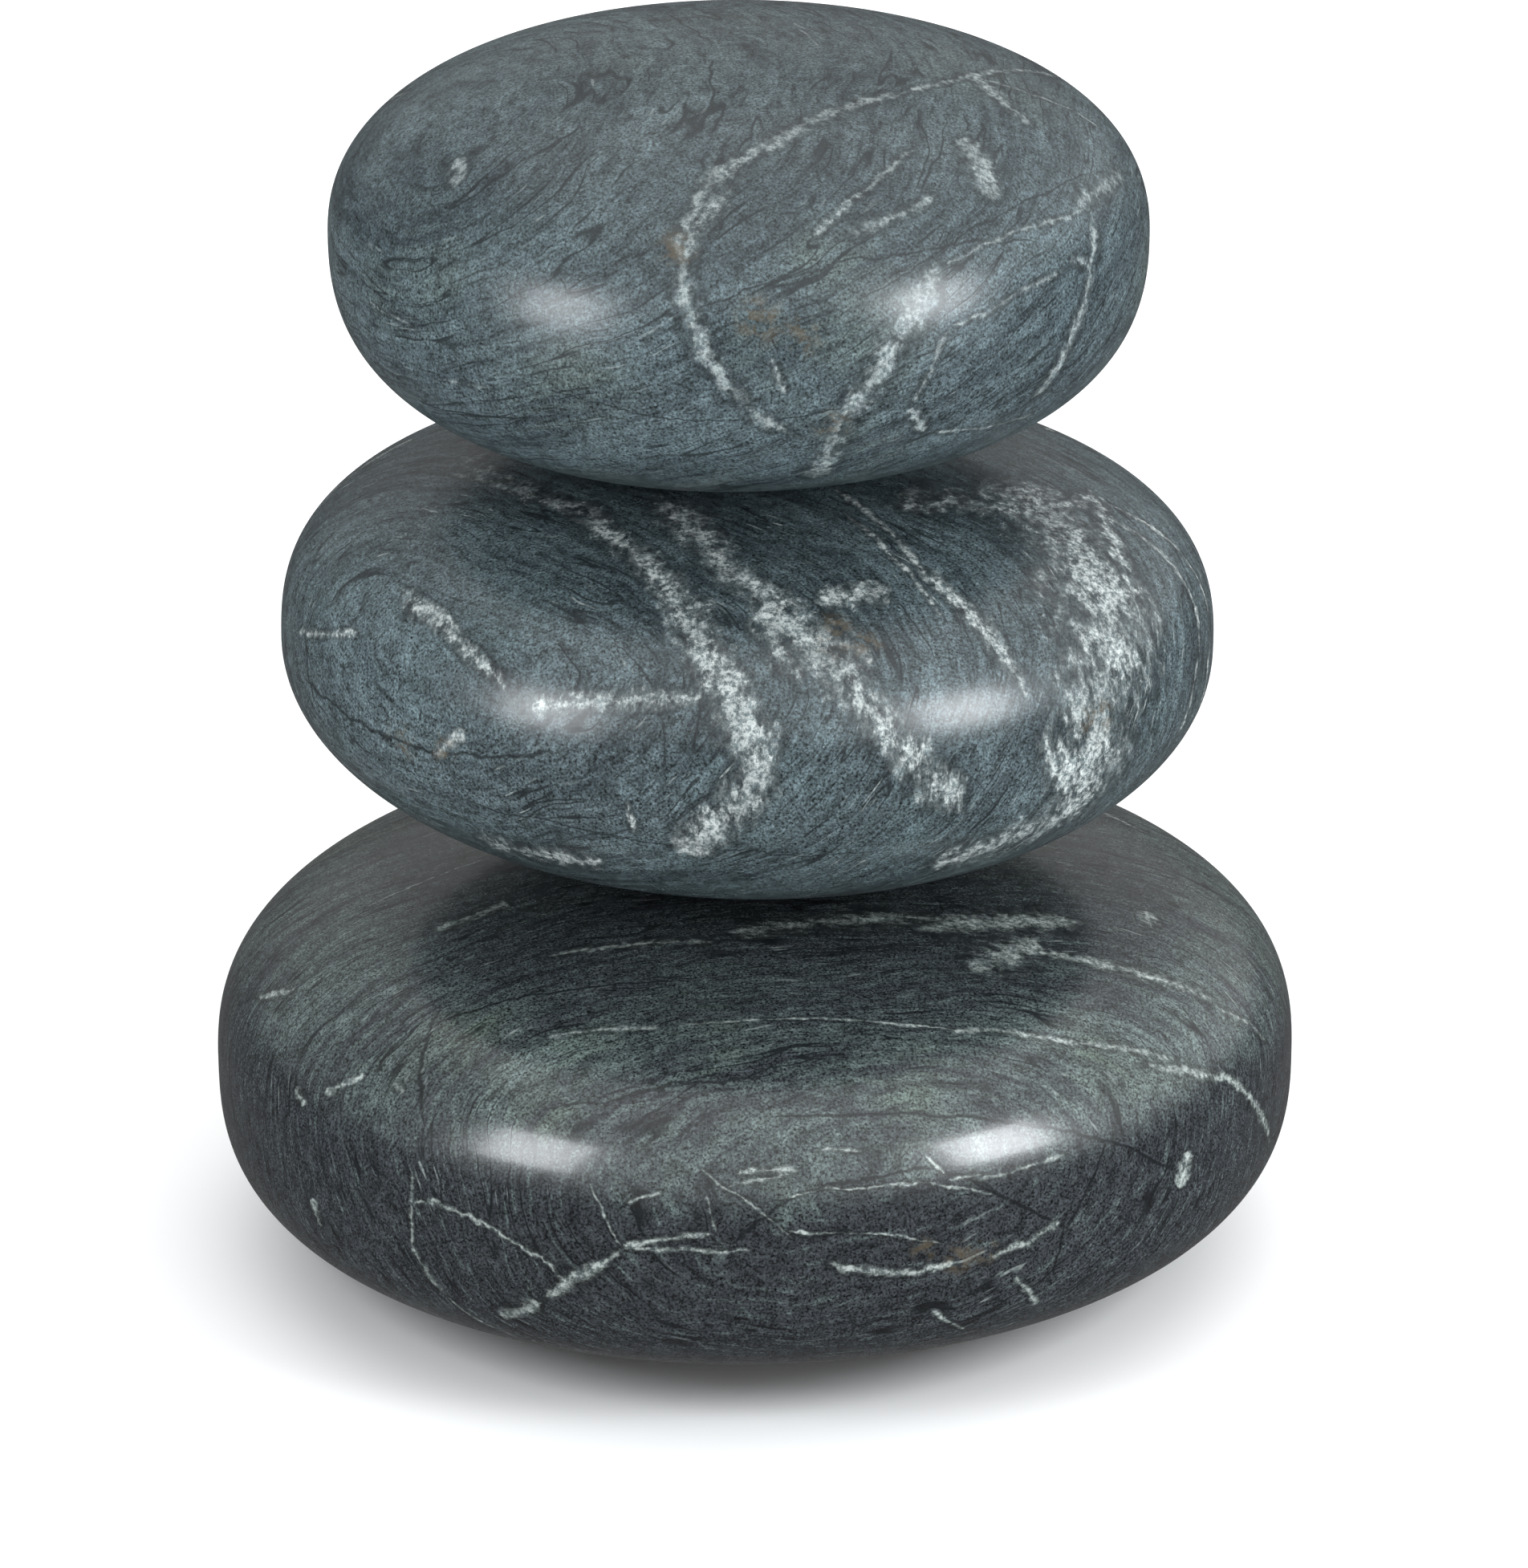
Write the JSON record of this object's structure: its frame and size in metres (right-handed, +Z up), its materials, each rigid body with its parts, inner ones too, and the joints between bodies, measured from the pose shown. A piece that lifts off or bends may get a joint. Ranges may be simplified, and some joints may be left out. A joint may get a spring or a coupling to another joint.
{
  "type": "stacked spa stones",
  "caption": "Stack of flattened round polished stones, dark with white veins; each upper stone turns on a washer over a steel dowel and lifts off.",
  "frame": {"origin": "the middle of the cork pad's underside, where the stack stands", "axes": "+Z up through the stack, -Y towards the veined front, +X to the right seen from the front"},
  "size_m": [0.24, 0.24, 0.277],
  "materials": {
    "dark_stone": "polished",
    "veined_stone": "polished",
    "green_stone": "honed",
    "dowel_steel": "turned",
    "bonding_resin": "satin",
    "washer_rubber": "matte",
    "cork": "pressed cork"
  },
  "bodies": {
    "bottom_stone": {"bottom_stone": "dark_stone", "lower_dowel": "dowel_steel", "lower_resin": "bonding_resin", "base_cork": "cork"},
    "lower_washer": {"lower_washer": "washer_rubber"},
    "middle_stone": {"middle_stone": "veined_stone", "upper_dowel": "dowel_steel", "upper_resin": "bonding_resin"},
    "upper_washer": {"upper_washer": "washer_rubber"},
    "top_stone": {"top_stone": "green_stone"}
  },
  "joints": [
    {"name": "middle_turn", "type": "hinge", "parent": "bottom_stone", "child": "lower_washer", "pos_m": [-0.0015, 0, 0.0932], "axis": [0, 0, 1], "continuous": true},
    {"name": "middle_lift", "type": "slide", "parent": "lower_washer", "child": "middle_stone", "axis": [0, 0, 1], "range_m": [0, 0.05]},
    {"name": "top_turn", "type": "hinge", "parent": "middle_stone", "child": "upper_washer", "pos_m": [-0.0015, 0, 0.1856], "axis": [0, 0, 1], "continuous": true},
    {"name": "top_lift", "type": "slide", "parent": "upper_washer", "child": "top_stone", "axis": [0, 0, 1], "range_m": [0, 0.05]}
  ]
}
